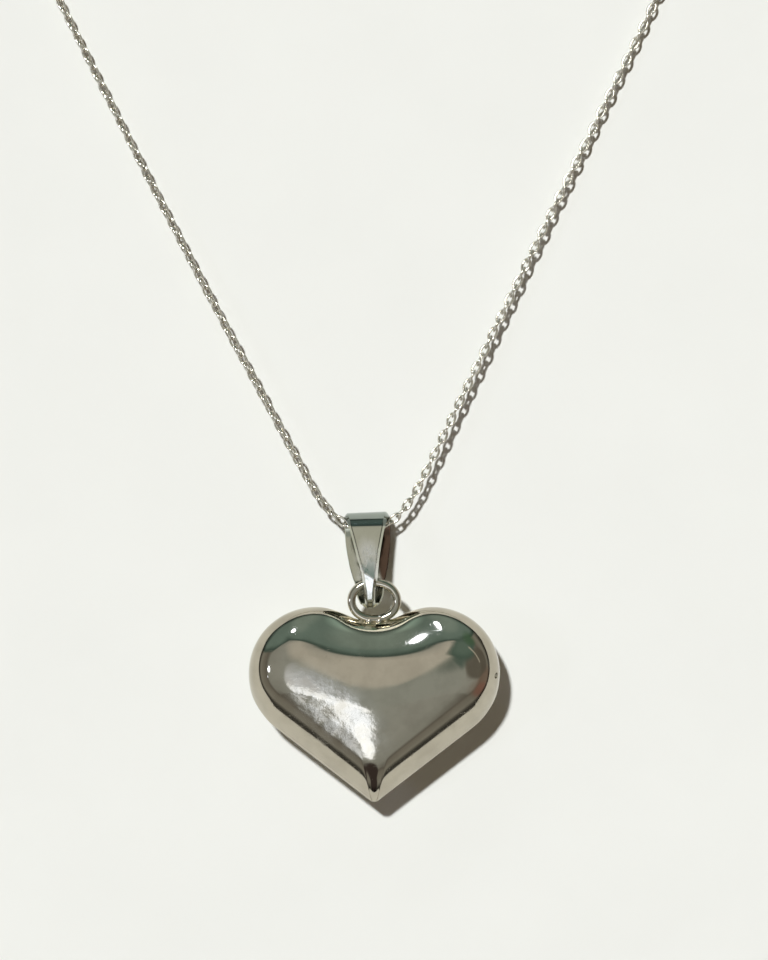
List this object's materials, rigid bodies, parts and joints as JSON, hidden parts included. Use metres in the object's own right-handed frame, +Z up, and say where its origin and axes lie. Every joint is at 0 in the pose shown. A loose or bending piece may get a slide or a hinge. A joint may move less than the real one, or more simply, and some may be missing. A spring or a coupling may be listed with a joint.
{
  "type": "heart pendant necklace",
  "caption": "Puffed, hollow heart pendant of polished silver with a soldered ring and a folded tapering bail, on a whole loop of fine cable chain laid flat.",
  "frame": {"origin": "middle of the whole laid-out loop's box in plan, on the surface that it lies on", "axes": "+Z up out of the surface, +Y from the heart towards the clasp, +X to the right seen from above with the heart nearest"},
  "size_m": [0.1141, 0.2096, 0.009],
  "materials": {
    "heart_silver": "mirror-polished sterling silver, worn with fine scratches and lightly tarnished in the notch",
    "bail_silver": "polished sterling silver strip with fine scratches",
    "chain_silver": "polished sterling silver wire, slightly tarnished where the links meet",
    "clasp_silver": "polished sterling silver"
  },
  "bodies": {
    "root": {"heart": "heart_silver", "bail": "bail_silver", "chain": "chain_silver", "clasp": "clasp_silver"}
  },
  "joints": []
}
